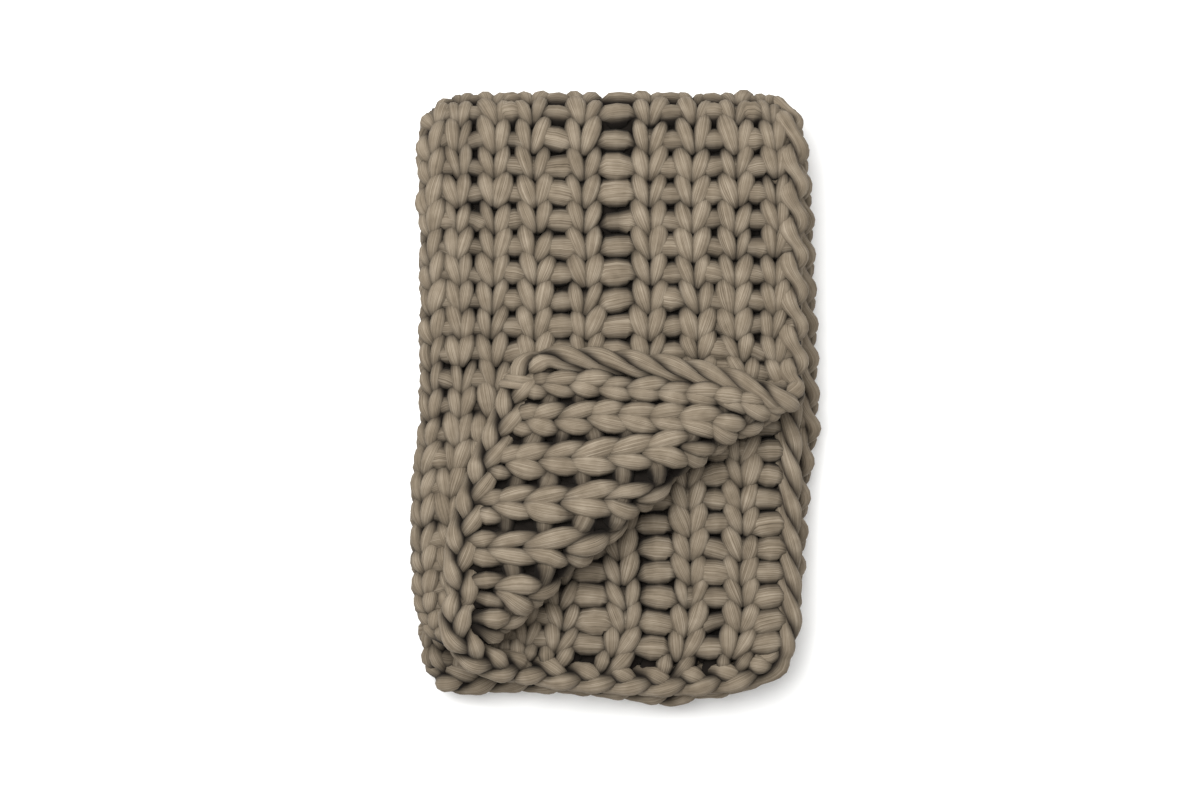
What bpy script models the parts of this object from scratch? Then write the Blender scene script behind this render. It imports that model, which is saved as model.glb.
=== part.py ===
"""A hand-knit wool throw in a heavy 1x1 rib, folded in quarter, its top corner turned back.

Metres, Z up. The throw lies on the plane z = 0. X runs across its ribs and Y along them, with
the first fold on the left (-X) and the second fold at the top (+Y). The origin is under the
middle of the stack.
"""

from collections import namedtuple
import math

import bmesh
import bpy
import numpy as np

NAME = "blanket"

# The knitted cloth. A wale is one column of stitches, and every second one is a rib on the front.
FIRST_WALE = -0.5  # the outer edge of the selvedge on the right of the top layer
LAST_WALE = 37.5  # the outer edge of the other selvedge, one layer down
HEM_ROW = 23.5  # rows from the top fold to either hem
ROW_LENGTH = 0.033
CLOTH = 0.020  # through a rib's flank
RIB = 0.006  # how far a rib stands out of the middle of the cloth, on each side
HALF_CLOTH = CLOTH / 2 + RIB

# The folded stack.
LAYER = 0.035  # from one layer to the next
OUTER_LEVEL = 1.5 * LAYER  # outer and inner layers, from the middle of the stack
MIDDLE_Z = OUTER_LEVEL + HALF_CLOTH
LEFT_X = -0.244  # outside of the first fold
RIGHT_X = 0.2425  # outside of the selvedges
TOP_Y = 0.388  # outside of the second fold
FOLD_X = LEFT_X + LAYER
FOLD_Y = TOP_Y - OUTER_LEVEL - HALF_CLOTH
FOLD_START, FOLD_END = 17, 21  # the wales that go round the first fold
BOX_MIDDLE = (0.00815, -0.00192)  # of the finished throw, which the origin lies under
FOLD_RIB = 0.4  # ribs are squeezed there

Hem = namedtuple("Hem", "layer y")
HEMS = (Hem("outer", -0.373), Hem("inner", -0.371))

# Where the ribs lie across the outer layers and across the inner ones: pulled apart in the
# middle, crowded towards the fold and the selvedges.
Rib = namedtuple("Rib", "wale x")
OUTER_RIBS = (
    Rib(-0.5, 0.2425), Rib(0, 0.229), Rib(2, 0.201), Rib(4, 0.1525), Rib(6, 0.100),
    Rib(8, 0.044), Rib(10, -0.035), Rib(12, -0.099), Rib(14, -0.149), Rib(16, -0.193),
    Rib(17, FOLD_X),
)
INNER_RIBS = (
    Rib(21, FOLD_X), Rib(23, -0.175), Rib(25, -0.140), Rib(27, -0.105), Rib(29, -0.059),
    Rib(31, 0.014), Rib(33, 0.097), Rib(35, 0.163), Rib(37, 0.230), Rib(37.5, 0.2425),
)

# The stack's four corners, drawn in to arcs, also a little outside the square.
CORNER_REACH = 1.2
Corner = namedtuple("Corner", "x y radius")
TOP_CORNERS = (Corner(LEFT_X, TOP_Y, 0.062), Corner(RIGHT_X, TOP_Y, 0.075))
HEM_CORNERS_UPPER = (Corner(LEFT_X, -0.373, 0.100), Corner(RIGHT_X, -0.373, 0.100))
HEM_CORNERS_TOP = (Corner(LEFT_X, -0.373, 0.100), Corner(RIGHT_X, -0.373, 0.055))
HEM_CORNERS_LOWER = (Corner(LEFT_X, -0.373, 0.060), Corner(RIGHT_X, -0.373, 0.100))

# How far the edges stray: the left fold of all layers, the right edge of the lower two, and the
# hems of the upper two and the lower two.
Stray = namedtuple("Stray", "at by")
LEFT_STRAYS = (
    Stray(-0.36, 0.004), Stray(-0.26, -0.008), Stray(-0.20, -0.0125), Stray(-0.12, -0.011),
    Stray(-0.06, -0.004), Stray(0.00, 0.0), Stray(0.13, 0.0), Stray(0.31, -0.0025),
)
RIGHT_STRAYS = (
    Stray(-0.30, -0.010), Stray(-0.20, 0.003), Stray(-0.13, 0.007), Stray(-0.08, 0.012),
    Stray(-0.035, 0.021), Stray(0.08, 0.018), Stray(0.25, 0.012), Stray(0.34, 0.004),
)
UPPER_HEM_STRAYS = (
    Stray(-0.20, 0.034), Stray(-0.15, 0.027), Stray(-0.11, 0.017), Stray(-0.02, 0.003),
    Stray(0.09, -0.004), Stray(0.16, 0.0), Stray(0.24, 0.004),
)
LOWER_HEM_STRAYS = (
    Stray(-0.20, -0.004), Stray(-0.13, 0.001), Stray(-0.05, -0.002), Stray(0.02, -0.010),
    Stray(0.08, -0.019), Stray(0.11, -0.009), Stray(0.20, 0.0),
)
HEM_REACH = 0.20  # a hem's stray fades over this length of cloth
HEM_LEAN = 0.055  # how far the inner layer's ribs lean left over their last stretch
LEAN_LENGTH = 0.105
LEAN_FROM = -0.17  # no lean left of here
SWELL = 0.005  # the upper layers rise and fall by this much
SWELL_WAVES = ((19.0, 5.0), (-7.0, 13.0))  # radians a metre, along x and y

# The corner of the top layer, rolled over and laid back along a slanting line.
TURN_START = (-0.2205, -0.310)  # where the line leaves the first fold
TURN_ANGLE = math.radians(38.0)
TURN_RADIUS = 0.022
TURN_SAG = 0.008  # the flap settles this much beyond the roll
SAG_LENGTH = 0.10
TURN_FADE = (14.0, 17.2)  # wales over which the roll opens out towards the first fold
FLAP_DROPS = (  # by how far it is past the roll
    Stray(0.0, 0.0), Stray(0.05, 0.008), Stray(0.10, 0.016), Stray(0.16, 0.022),
    Stray(0.24, 0.026),
)
FLAP_BULGES = (  # its hem bows out to the left, by how far it is past the roll
    Stray(0.0, 0.0), Stray(0.04, 0.022), Stray(0.08, 0.026), Stray(0.12, 0.022),
    Stray(0.18, 0.008), Stray(0.24, 0.0),
)
BULGE_FADE = (-0.16, 0.16)
SLIDE_ACROSS, SLIDE_UP = 0.16, 0.23  # the turned corner is drawn so far, for each metre from its hem
SLIDE_FROM = -0.12  # metres short of the roll
SLIDE_SHARES = (  # by the distance along the roll
    Stray(0.0, 0.0), Stray(0.10, 0.8), Stray(0.20, 1.0), Stray(0.34, 1.0), Stray(0.42, 0.6),
    Stray(0.50, 0.15), Stray(0.56, 0.0),
)

# The slab that is bent into shape: four strips to a rib, and finer rows where it folds.
STRIPS_PER_WALE = 2
LOWER_ROWS = (-23.5, -19.5, -15.5, -11.5, -8.0, -5.0)
FOLD_ROWS = (-2.5, -1.7, -0.85, -0.4, 0.0, 0.4, 0.85, 1.7, 2.5)
UPPER_ROWS = (4.5, 7.0, 9.5)
FLAP_FIRST_ROW = 11.0
FLAP_STRIPS = 17

WOOL_COLOUR = (0.330, 0.270, 0.205, 1.0)
WOOL_ROUGHNESS = 0.95


def eased(low, high, value):
    """0 below low, 1 above high, and a smooth step between."""
    part = np.clip((value - low) / (high - low), 0.0, 1.0)
    return part * part * (3.0 - 2.0 * part)


def read(table, at):
    """A short table read at any point: its first column rises, or falls, its second is the answer."""
    rows = sorted(table)
    return np.interp(at, [row[0] for row in rows], [row[1] for row in rows])


def rib_wave(wale):
    """+1 along a rib on the front, -1 along a rib on the back, with straight flanks."""
    return np.clip(math.sqrt(2.0) * np.cos(math.pi * wale), -1.0, 1.0)


def section(wale, rise):
    """Across the folded cloth: x, the level of a layer, and the level of the point itself."""
    turn = np.clip((wale - FOLD_START) / (FOLD_END - FOLD_START), 0.0, 1.0) * math.pi
    run = np.where(wale < FOLD_END, read(OUTER_RIBS, wale), read(INNER_RIBS, wale))
    squeezed = 1.0 - (1.0 - FOLD_RIB) * np.sin(turn)
    out = rise + RIB * squeezed * rib_wave(wale)
    x = run - (LAYER / 2 + out) * np.sin(turn)
    layer = LAYER + LAYER / 2 * np.cos(turn)
    return x, layer, layer + out * np.cos(turn)


def stack(wale, row, rise):
    """The square stack: x, y and z, the height of the cloth's middle there, and two shares:
    how far a point belongs to the upper layers, and how far to the inner ones."""
    x, layer, level = section(wale, rise)
    inner = eased(FOLD_START, FOLD_END, wale)
    hem = HEMS[0].y + (HEMS[1].y - HEMS[0].y) * inner
    quarter = math.pi / 2 * layer
    travel = np.abs(row) / HEM_ROW * (quarter + FOLD_Y - hem)
    angle = np.clip(travel / layer, 0.0, math.pi / 2)
    y = FOLD_Y + level * np.cos(angle) - np.maximum(travel - quarter, 0.0)
    over = np.sign(row) * np.sin(angle)
    return x, y, MIDDLE_Z + level * over, MIDDLE_Z + layer * over, (1.0 + over) / 2, inner


def corner_pull(x, y, corners):
    """How far the arcs at these corners draw a point in."""
    pull_x, pull_y = np.zeros_like(x), np.zeros_like(y)
    for corner in corners:
        side, end = math.copysign(1.0, corner.x), math.copysign(1.0, corner.y)
        in_x = np.clip((x - corner.x) * side / corner.radius + 1.0, 0.0, CORNER_REACH)
        in_y = np.clip((y - corner.y) * end / corner.radius + 1.0, 0.0, CORNER_REACH)
        pull_x += side * corner.radius * in_x * (np.sqrt(1.0 - in_y**2 / 2) - 1.0)
        pull_y += end * corner.radius * in_y * (np.sqrt(1.0 - in_x**2 / 2) - 1.0)
    return pull_x, pull_y


def plan(x, y, upper, inner):
    """The stack as it really lies: rounded corners, straying edges and leaning ribs."""
    top_x, top_y = corner_pull(x, y, TOP_CORNERS)
    up_x, up_y = corner_pull(x, y, HEM_CORNERS_UPPER)
    outer_x, outer_y = corner_pull(x, y, HEM_CORNERS_TOP)
    up_x, up_y = outer_x + (up_x - outer_x) * inner, outer_y + (up_y - outer_y) * inner
    low_x, low_y = corner_pull(x, y, HEM_CORNERS_LOWER)
    across = np.clip((x - LEFT_X) / (RIGHT_X - LEFT_X), 0.0, 1.0)
    near_hem = 1.0 - eased(HEMS[0].y, HEMS[0].y + HEM_REACH, y)
    lean = np.clip((HEMS[1].y + LEAN_LENGTH - y) / LEAN_LENGTH, 0.0, 1.0) ** 2
    leaning = np.clip((x - LEAN_FROM) / (RIGHT_X - LEAN_FROM), 0.0, 1.0)
    up_x -= HEM_LEAN * inner * lean * np.sin(math.pi * leaning)
    up_y += near_hem * read(UPPER_HEM_STRAYS, x)
    low_x += across * read(RIGHT_STRAYS, y)
    low_y += near_hem * read(LOWER_HEM_STRAYS, x)
    new_x = x + top_x + (1.0 - across) * read(LEFT_STRAYS, y)
    new_x += upper * up_x + (1.0 - upper) * low_x
    new_y = y + top_y + upper * up_y + (1.0 - upper) * low_y
    return new_x, new_y


def swell(x, y, upper):
    """A soft rise and fall of the upper layers. The lowest one stays flat."""
    (across_x, across_y), (down_x, down_y) = SWELL_WAVES
    wave = np.sin(across_x * x + across_y * y) * np.cos(down_x * x + down_y * y)
    return SWELL * (1.0 + wave) / 2 * eased(0.5, 1.0, upper)


def turned_back(x, y, z, middle, wale, row):
    """The top layer's corner: over a roll along the slanting line, and flat again on its back."""
    along_x, along_y = math.cos(TURN_ANGLE), math.sin(TURN_ANGLE)
    from_x, from_y = x - TURN_START[0], y - TURN_START[1]
    over_fold = from_x * along_y - from_y * along_x
    turning = 1.0 - eased(*TURN_FADE, wale)
    past = np.maximum(over_fold, 0.0) * turning
    slide = (HEM_ROW - row) * ROW_LENGTH * read(SLIDE_SHARES, from_x * along_x + from_y * along_y)
    slide = slide * eased(SLIDE_FROM, 0.0, over_fold) * turning
    rise = z - middle
    angle = np.minimum(past / TURN_RADIUS, math.pi)
    beyond = np.maximum(past - math.pi * TURN_RADIUS, 0.0)
    shift = (TURN_RADIUS - rise) * np.sin(angle) - beyond - past
    x = x + shift * along_y
    y = y - shift * along_x
    lift = TURN_RADIUS - (TURN_RADIUS - rise) * np.cos(angle) - rise
    x = x - read(FLAP_BULGES, beyond) * (1.0 - eased(*BULGE_FADE, x))
    x, y = x + slide * SLIDE_ACROSS, y + slide * SLIDE_UP - read(FLAP_DROPS, beyond)
    return x, y, z + lift - TURN_SAG * eased(0.0, SAG_LENGTH, beyond)


def lay(wale, row, rise):
    """A point of the flat cloth, by its wale, its row and its rise off the middle, where it lies."""
    x, y, z, middle, upper, inner = stack(wale, row, rise)
    x, y = plan(x, y, upper, inner)
    lift = swell(x, y, upper)
    folded = (x, y, z + lift)
    turned = turned_back(*folded, middle + lift, wale, row)
    x, y, z = (np.where(upper == 1.0, b, a) for a, b in zip(folded, turned))
    return x - BOX_MIDDLE[0], y - BOX_MIDDLE[1], z


def strip_edges():
    """Wales at the edges of the slab's strips: the crests and troughs of the ribs lie between."""
    step = 1.0 / STRIPS_PER_WALE
    inside = np.arange(FIRST_WALE + step / 2, LAST_WALE, step)
    return np.concatenate([[FIRST_WALE], inside, [LAST_WALE]])


def row_edges():
    flap = np.linspace(FLAP_FIRST_ROW, HEM_ROW, FLAP_STRIPS + 1)
    return np.concatenate([LOWER_ROWS, FOLD_ROWS, UPPER_ROWS, flap])


def flat_slab(wales, rows):
    """The cloth before it is folded: a slab whose x is the wale, y the row and z the rise."""
    slab = bmesh.new()
    bmesh.ops.create_grid(slab, x_segments=len(wales) - 1, y_segments=len(rows) - 1, size=0.5)
    for vert in slab.verts:
        column = round((vert.co.x + 0.5) * (len(wales) - 1))
        line = round((vert.co.y + 0.5) * (len(rows) - 1))
        vert.co = (wales[column], rows[line], -CLOTH / 2)
    raised = bmesh.ops.extrude_face_region(slab, geom=slab.faces[:])["geom"]
    for vert in (item for item in raised if isinstance(item, bmesh.types.BMVert)):
        vert.co.z = CLOTH / 2
    return slab


def wool():
    material = bpy.data.materials.new("wool_roving")
    material.use_nodes = True
    shader = material.node_tree.nodes["Principled BSDF"]
    shader.inputs["Base Color"].default_value = WOOL_COLOUR
    shader.inputs["Roughness"].default_value = WOOL_ROUGHNESS
    shader.inputs["Metallic"].default_value = 0.0
    return material


def blanket():
    slab = flat_slab(strip_edges(), row_edges())
    flat = np.array([vert.co for vert in slab.verts])
    laid = np.stack(lay(flat[:, 0], flat[:, 1], flat[:, 2]), axis=1)
    for vert, place in zip(slab.verts, laid):
        vert.co = place
    bmesh.ops.recalc_face_normals(slab, faces=slab.faces[:])
    mesh = bpy.data.meshes.new(NAME)
    slab.to_mesh(mesh)
    slab.free()
    mesh.shade_smooth()
    mesh.materials.append(wool())
    return bpy.data.objects.new(NAME, mesh)


for old in list(bpy.data.objects):
    bpy.data.objects.remove(old, do_unlink=True)
collection = bpy.data.collections.new("wool_throw")
bpy.context.scene.collection.children.link(collection)
collection.objects.link(blanket())
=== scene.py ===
# %% [markdown]
# # A hand-knit wool throw, folded in quarter
#
# The real thing is one long strand of unspun wool, as thick as a thumb, knitted by hand into a
# 1x1 rib: one column of stitches faces you, the next one faces away. The throw is folded in half
# to the left, in half again at the top, and one corner of the top layer is turned back. The solid
# model holds that folded shape. This script knits the yarn itself along the same folds.

# %% Load the frame
from collections import namedtuple
import math

import bpy
import numpy as np
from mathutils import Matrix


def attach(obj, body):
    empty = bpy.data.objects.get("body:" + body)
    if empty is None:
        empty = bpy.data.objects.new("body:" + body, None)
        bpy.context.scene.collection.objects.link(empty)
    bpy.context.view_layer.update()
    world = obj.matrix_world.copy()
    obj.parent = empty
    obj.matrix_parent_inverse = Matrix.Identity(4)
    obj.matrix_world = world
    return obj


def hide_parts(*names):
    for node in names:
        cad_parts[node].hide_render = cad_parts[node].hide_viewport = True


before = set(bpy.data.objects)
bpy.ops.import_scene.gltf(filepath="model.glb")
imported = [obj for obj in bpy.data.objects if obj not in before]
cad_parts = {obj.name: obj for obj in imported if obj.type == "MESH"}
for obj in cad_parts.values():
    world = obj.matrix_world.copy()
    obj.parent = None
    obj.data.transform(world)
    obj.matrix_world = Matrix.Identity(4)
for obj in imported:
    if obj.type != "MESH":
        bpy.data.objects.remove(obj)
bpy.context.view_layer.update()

# %% [markdown]
# ## The photograph's frame
#
# The camera looks straight down. The folded throw has the proportions of a 100 x 150 cm one, so
# one pixel of the picture is 1.25 mm at its top layer. From that the camera's view and place
# follow. A long lens far above keeps the sides of the stack out of sight, as in the picture.

# %% Camera
PICTURE_WIDTH, PICTURE_HEIGHT = 1200, 800
PIXEL = 0.00125
TOP_Z = 0.137  # the top of the top layer's ribs
CAMERA_HEIGHT = 4.0  # above them
SENSOR_WIDTH = 36.0  # millimetres
MIDDLE_PIXEL = (614.0, 401.5)  # the origin of the fold's plan
BOX_MIDDLE = (0.00815, -0.00192)  # from there to the middle of the throw's box

camera = bpy.data.objects.new("camera", bpy.data.cameras.new("camera"))
camera.data.sensor_width = SENSOR_WIDTH
camera.data.lens = SENSOR_WIDTH * CAMERA_HEIGHT / (PICTURE_WIDTH * PIXEL)
camera.location = (
    (PICTURE_WIDTH / 2 - MIDDLE_PIXEL[0]) * PIXEL - BOX_MIDDLE[0],
    (MIDDLE_PIXEL[1] - PICTURE_HEIGHT / 2) * PIXEL - BOX_MIDDLE[1],
    TOP_Z + CAMERA_HEIGHT,
)
bpy.context.scene.collection.objects.link(camera)
bpy.context.scene.camera = camera
print("camera at", tuple(camera.location), "lens", round(camera.data.lens, 1), "mm")

# %% [markdown]
# ## The cloth and its folds
#
# A place on the flat cloth is a wale (a column of stitches, counted from the right selvedge of
# the top layer), a row (counted from the top fold, negative underneath) and a rise off the middle
# of the cloth. The functions below carry such a place to where it lies in the folded throw. They
# are the ones that bend the solid, with the same sizes, so the knitting fills the solid. Bend
# modifiers could fold it too, but they would have to be matched to the solid by trial. Knitting
# flat and folding afterwards is how the maker does it.

# %% Sizes of the cloth and of the stack
FIRST_WALE, LAST_WALE = -0.5, 37.5  # the two selvedges
HEM_ROW = 23.5  # from the top fold to either hem
ROW_LENGTH = 0.033
LAYER = 0.035  # from the middle of one layer to that of the next
HALF_CLOTH = 0.016  # half its thickness
OUTER_LEVEL = 1.5 * LAYER
MIDDLE_Z = OUTER_LEVEL + HALF_CLOTH
LEFT_X, RIGHT_X, TOP_Y = -0.244, 0.2425, 0.388
FOLD_X = LEFT_X + LAYER
FOLD_Y = TOP_Y - OUTER_LEVEL - HALF_CLOTH
FOLD_START, FOLD_END = 17, 21  # the wales that go round the left fold
OUTER_HEM_Y, INNER_HEM_Y = -0.373, -0.371
print("the middle of the stack is", MIDDLE_Z, "m up, and its outer layers", OUTER_LEVEL, "m from it")

# %% Where the ribs lie
Rib = namedtuple("Rib", "wale x")
OUTER_RIBS = (
    Rib(-2, 0.270), Rib(-0.5, 0.2425), Rib(0, 0.229), Rib(2, 0.201), Rib(4, 0.1525),
    Rib(6, 0.100), Rib(8, 0.044), Rib(10, -0.035), Rib(12, -0.099), Rib(14, -0.149),
    Rib(16, -0.193), Rib(17, FOLD_X),
)
INNER_RIBS = (
    Rib(21, FOLD_X), Rib(23, -0.175), Rib(25, -0.140), Rib(27, -0.105), Rib(29, -0.059),
    Rib(31, 0.014), Rib(33, 0.097), Rib(35, 0.163), Rib(37, 0.230), Rib(37.5, 0.2425),
    Rib(39, 0.270),
)
print("ribs given on the outer layers:", len(OUTER_RIBS), "and on the inner ones:", len(INNER_RIBS))

# %% [markdown]
# Soft cloth never lies square. Its corners are round, its edges stray by some millimetres, and
# the second layer's hem leans to the left. Sculpting could do this, but short tables can be read
# and mended: each row is a place along an edge and how far the cloth strays there, in metres.

# %% Round corners and straying edges
Corner = namedtuple("Corner", "x y radius")
CORNER_REACH = 1.2  # in radii, so that loops past the edge are drawn in too
TOP_CORNERS = (Corner(LEFT_X, TOP_Y, 0.062), Corner(RIGHT_X, TOP_Y, 0.075))
HEM_CORNERS_UPPER = (Corner(LEFT_X, -0.373, 0.100), Corner(RIGHT_X, -0.373, 0.100))
HEM_CORNERS_TOP = (Corner(LEFT_X, -0.373, 0.100), Corner(RIGHT_X, -0.373, 0.055))
HEM_CORNERS_LOWER = (Corner(LEFT_X, -0.373, 0.060), Corner(RIGHT_X, -0.373, 0.100))

Amount = namedtuple("Amount", "at by")
LEFT_STRAYS = (
    Amount(-0.36, 0.004), Amount(-0.26, -0.008), Amount(-0.20, -0.0125), Amount(-0.12, -0.011),
    Amount(-0.06, -0.004), Amount(0.00, 0.0), Amount(0.13, 0.0), Amount(0.31, -0.0025),
)
RIGHT_STRAYS = (
    Amount(-0.30, -0.010), Amount(-0.20, 0.003), Amount(-0.13, 0.007), Amount(-0.08, 0.012),
    Amount(-0.035, 0.021), Amount(0.08, 0.018), Amount(0.25, 0.012), Amount(0.34, 0.004),
)
UPPER_HEM_STRAYS = (
    Amount(-0.20, 0.034), Amount(-0.15, 0.027), Amount(-0.11, 0.017), Amount(-0.02, 0.003),
    Amount(0.09, -0.004), Amount(0.16, 0.0), Amount(0.24, 0.004),
)
LOWER_HEM_STRAYS = (
    Amount(-0.20, -0.004), Amount(-0.13, 0.001), Amount(-0.05, -0.002), Amount(0.02, -0.010),
    Amount(0.08, -0.019), Amount(0.11, -0.009), Amount(0.20, 0.0),
)
HEM_REACH = 0.20  # how far up the throw the hems' straying is felt
HEM_LEAN, LEAN_LENGTH, LEAN_FROM = 0.055, 0.105, -0.17
SWELL = 0.005
SWELL_WAVES = ((19.0, 5.0), (-7.0, 13.0))  # radians for each metre of x and of y
UPPER_LAYERS = (0.5, 1.0)  # from halfway round the top fold to the top

# %% [markdown]
# So thick a cloth makes no crease. The top layer's corner goes over a roll 44 mm across, and the
# cloth past the slanting line lies back on the throw. It was pulled up and to the right as it
# was turned, which brings its ribs nearly level.

# %% The turned corner's sizes
TURN_START = (-0.2205, -0.310)  # the lower left end of the slanting line
TURN_ANGLE = math.radians(38.0)
TURN_RADIUS = 0.022
TURN_SAG, SAG_LENGTH = 0.008, 0.10  # it sinks so far, over such a length past the roll
TURN_FADE = (14.0, 17.2)  # the wales where it joins the cloth that stays flat
FLAP_DROPS = (  # by how far it is past the roll
    Amount(0.0, 0.0), Amount(0.05, 0.008), Amount(0.10, 0.016), Amount(0.16, 0.022),
    Amount(0.24, 0.026),
)
FLAP_BULGES = (
    Amount(0.0, 0.0), Amount(0.04, 0.022), Amount(0.08, 0.026), Amount(0.12, 0.022),
    Amount(0.18, 0.008), Amount(0.24, 0.0),
)
BULGE_FADE = (-0.16, 0.16)
SLIDE_ACROSS, SLIDE_UP = 0.16, 0.23  # how far it is pulled, for each metre from its hem
SLIDE_FROM = -0.12  # metres short of the roll
SLIDE_SHARES = (  # by the distance along the roll
    Amount(0.0, 0.0), Amount(0.10, 0.8), Amount(0.20, 1.0), Amount(0.34, 1.0), Amount(0.42, 0.6),
    Amount(0.50, 0.15), Amount(0.56, 0.0),
)


# %% Reading a short table, and easing between two values
def eased(low, high, value):
    """0 up to low, 1 from high on, and a smooth rise in between."""
    part = np.clip((value - low) / (high - low), 0.0, 1.0)
    return part * part * (3.0 - 2.0 * part)


def read(table, at):
    """A table's amount at a place, on straight lines between its rows."""
    rows = sorted(table)
    return np.interp(at, [row[0] for row in rows], [row[1] for row in rows])


print("the right edge strays by", read(RIGHT_STRAYS, 0.0), "m at the middle of the throw")

# %% [markdown]
# The left fold is a half circle as wide as one layer. The top fold is a half circle round the
# middle of the stack, with the outer layer outside and the inner one within, so all four layers
# stay evenly apart.


# %% Across the folded cloth
def section(wale, rise):
    """x, and how far the layer and the place lie from the middle of the stack."""
    turn = np.clip((wale - FOLD_START) / (FOLD_END - FOLD_START), 0.0, 1.0) * math.pi
    run = np.where(wale < FOLD_END, read(OUTER_RIBS, wale), read(INNER_RIBS, wale))
    x = run - (LAYER / 2 + rise) * np.sin(turn)
    layer = LAYER + LAYER / 2 * np.cos(turn)
    return x, layer, layer + rise * np.cos(turn)


# %% The square stack
def stack(wale, row, rise):
    """x, y and z, the layer's own z, and how much the place is an upper and an inner one."""
    x, layer, level = section(wale, rise)
    inner = eased(FOLD_START, FOLD_END, wale)
    hem = OUTER_HEM_Y + (INNER_HEM_Y - OUTER_HEM_Y) * inner
    quarter = math.pi / 2 * layer
    travel = np.abs(row) / HEM_ROW * (quarter + FOLD_Y - hem)
    angle = np.clip(travel / layer, 0.0, math.pi / 2)
    y = FOLD_Y + level * np.cos(angle) - np.maximum(travel - quarter, 0.0)
    over = np.where(row < 0, -1.0, 1.0) * np.sin(angle)
    return x, y, MIDDLE_Z + level * over, MIDDLE_Z + layer * over, (1.0 + over) / 2, inner


# %% How it really lies
def corner_pull(x, y, corners):
    """How far round corners draw a place in."""
    pull_x, pull_y = np.zeros_like(x), np.zeros_like(y)
    for corner in corners:
        side, end = math.copysign(1.0, corner.x), math.copysign(1.0, corner.y)
        in_x = np.clip((x - corner.x) * side / corner.radius + 1.0, 0.0, CORNER_REACH)
        in_y = np.clip((y - corner.y) * end / corner.radius + 1.0, 0.0, CORNER_REACH)
        pull_x += side * corner.radius * in_x * (np.sqrt(1.0 - in_y**2 / 2) - 1.0)
        pull_y += end * corner.radius * in_y * (np.sqrt(1.0 - in_x**2 / 2) - 1.0)
    return pull_x, pull_y


def plan(x, y, upper, inner):
    """x and y with round corners, straying edges and a leaning hem."""
    top_x, top_y = corner_pull(x, y, TOP_CORNERS)
    up_x, up_y = corner_pull(x, y, HEM_CORNERS_UPPER)
    outer_x, outer_y = corner_pull(x, y, HEM_CORNERS_TOP)
    up_x, up_y = outer_x + (up_x - outer_x) * inner, outer_y + (up_y - outer_y) * inner
    low_x, low_y = corner_pull(x, y, HEM_CORNERS_LOWER)
    across = np.clip((x - LEFT_X) / (RIGHT_X - LEFT_X), 0.0, 1.0)
    near_hem = 1.0 - eased(OUTER_HEM_Y, OUTER_HEM_Y + HEM_REACH, y)
    lean = np.clip((INNER_HEM_Y + LEAN_LENGTH - y) / LEAN_LENGTH, 0.0, 1.0) ** 2
    leaning = np.clip((x - LEAN_FROM) / (RIGHT_X - LEAN_FROM), 0.0, 1.0)
    up_x -= HEM_LEAN * inner * lean * np.sin(math.pi * leaning)
    up_y += near_hem * read(UPPER_HEM_STRAYS, x)
    low_x += across * read(RIGHT_STRAYS, y)
    low_y += near_hem * read(LOWER_HEM_STRAYS, x)
    new_x = x + top_x + (1.0 - across) * read(LEFT_STRAYS, y)
    new_x += upper * up_x + (1.0 - upper) * low_x
    new_y = y + top_y + upper * up_y + (1.0 - upper) * low_y
    return new_x, new_y


# %% The turned-back corner
def swell(x, y, upper):
    """The upper layers are a little puffed up here and there."""
    (across_x, across_y), (down_x, down_y) = SWELL_WAVES
    wave = np.sin(across_x * x + across_y * y) * np.cos(down_x * x + down_y * y)
    return SWELL * (1.0 + wave) / 2 * eased(*UPPER_LAYERS, upper)


def turned_back(x, y, z, middle, wale, row):
    """The top layer's corner, rolled over the slanting line and laid back."""
    along_x, along_y = math.cos(TURN_ANGLE), math.sin(TURN_ANGLE)
    from_x, from_y = x - TURN_START[0], y - TURN_START[1]
    over_fold = from_x * along_y - from_y * along_x
    turning = 1.0 - eased(*TURN_FADE, wale)
    past = np.maximum(over_fold, 0.0) * turning
    slide = (HEM_ROW - row) * ROW_LENGTH * read(SLIDE_SHARES, from_x * along_x + from_y * along_y)
    slide = slide * eased(SLIDE_FROM, 0.0, over_fold) * turning
    rise = z - middle
    angle = np.minimum(past / TURN_RADIUS, math.pi)
    beyond = np.maximum(past - math.pi * TURN_RADIUS, 0.0)
    shift = (TURN_RADIUS - rise) * np.sin(angle) - beyond - past
    x = x + shift * along_y
    y = y - shift * along_x
    lift = TURN_RADIUS - (TURN_RADIUS - rise) * np.cos(angle) - rise
    x = x - read(FLAP_BULGES, beyond) * (1.0 - eased(*BULGE_FADE, x))
    x, y = x + slide * SLIDE_ACROSS, y + slide * SLIDE_UP - read(FLAP_DROPS, beyond)
    return x, y, z + lift - TURN_SAG * eased(0.0, SAG_LENGTH, beyond)


# %% From the flat cloth to the folded throw
def lay(wale, row, rise):
    """Where places on the flat cloth lie, as an array of points in metres."""
    x, y, z, middle, upper, inner = stack(wale, row, rise)
    x, y = plan(x, y, upper, inner)
    lift = swell(x, y, upper)
    folded = (x, y, z + lift)
    turned = turned_back(*folded, middle + lift, wale, row)
    x, y, z = (np.where(upper == 1.0, b, a) for a, b in zip(folded, turned))
    return np.stack([x - BOX_MIDDLE[0], y - BOX_MIDDLE[1], z], axis=-1)


RISE_STEP = 0.001


def lay_with_rise(wale, row, rise):
    """The same, and the direction of the rise there."""
    places = lay(wale, row, rise)
    steps = lay(wale, row, rise + RISE_STEP) - places
    return places, steps / np.linalg.norm(steps, axis=1, keepdims=True)


print("the middle of the top layer lies at", lay(*(np.array([v]) for v in (8.0, 12.0, 0.0)))[0])

# %% [markdown]
# ## Wool roving
#
# The strand is carded wool that was never spun: merino sliver, dyed a warm taupe. Its fibres run
# along it in soft streaks, and it has no twist and almost no shine. The streaks follow the strand,
# so the material reads an attribute that the yarn carries: the direction round the strand and the
# distance along it.

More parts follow.
